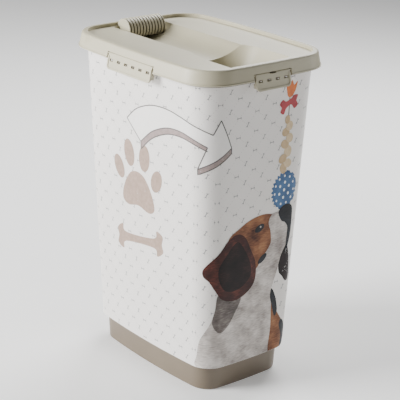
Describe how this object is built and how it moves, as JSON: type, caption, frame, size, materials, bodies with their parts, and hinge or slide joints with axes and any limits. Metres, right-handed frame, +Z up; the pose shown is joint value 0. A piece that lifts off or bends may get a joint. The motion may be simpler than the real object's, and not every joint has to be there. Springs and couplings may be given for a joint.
{
  "type": "pet food bin",
  "caption": "Tall tapered dry-food storage bin with a printed wrap, an inset base, a clip-down lid with a scoop channel and dish, a ribbed roll grip and swing-out side clips",
  "frame": {"origin": "middle of the footprint, on the floor", "axes": "+Z up; +X along the lid, towards the end with the scoop dish; -Y the long side with a wide clip that carries the arrow artwork"},
  "size_m": [0.4066, 0.3074, 0.61],
  "materials": {
    "tub_plastic": "injection-moulded taupe polypropylene, satin",
    "printed_wrap": "in-mould printed film, off-white with a small grey pattern and coloured artwork",
    "lid_plastic": "injection-moulded cream-grey polypropylene, fine satin",
    "seal_rubber": "soft grey sealing ring",
    "grip_plastic": "ribbed cream-grey polypropylene with darker grooves"
  },
  "bodies": {
    "tub_body": {"tub": "tub_plastic", "label_wrap": "printed_wrap"},
    "lid_body": {"lid": "lid_plastic", "lid_seal": "seal_rubber", "lid_grip": "grip_plastic"},
    "clip_front_body": {"clip_front": "lid_plastic"},
    "clip_back_body": {"clip_back": "lid_plastic"},
    "clip_near_body": {"clip_near": "lid_plastic"},
    "clip_far_body": {"clip_far": "lid_plastic"}
  },
  "joints": [
    {"name": "lid_lift", "type": "slide", "parent": "tub_body", "child": "lid_body", "axis": [0, 0, 1], "range_m": [0, 0.15]},
    {"name": "clip_front_hinge", "type": "hinge", "parent": "lid_body", "child": "clip_front_body", "pos_m": [0.19479, 0, 0.5825], "axis": [0, -1, 0], "range_deg": [0, 90]},
    {"name": "clip_back_hinge", "type": "hinge", "parent": "lid_body", "child": "clip_back_body", "pos_m": [-0.19479, 0, 0.5825], "axis": [0, 1, 0], "range_deg": [0, 90]},
    {"name": "clip_near_hinge", "type": "hinge", "parent": "lid_body", "child": "clip_near_body", "pos_m": [0, -0.14519, 0.5825], "axis": [-1, 0, 0], "range_deg": [0, 90]},
    {"name": "clip_far_hinge", "type": "hinge", "parent": "lid_body", "child": "clip_far_body", "pos_m": [0, 0.14519, 0.5825], "axis": [1, 0, 0], "range_deg": [0, 90]}
  ]
}
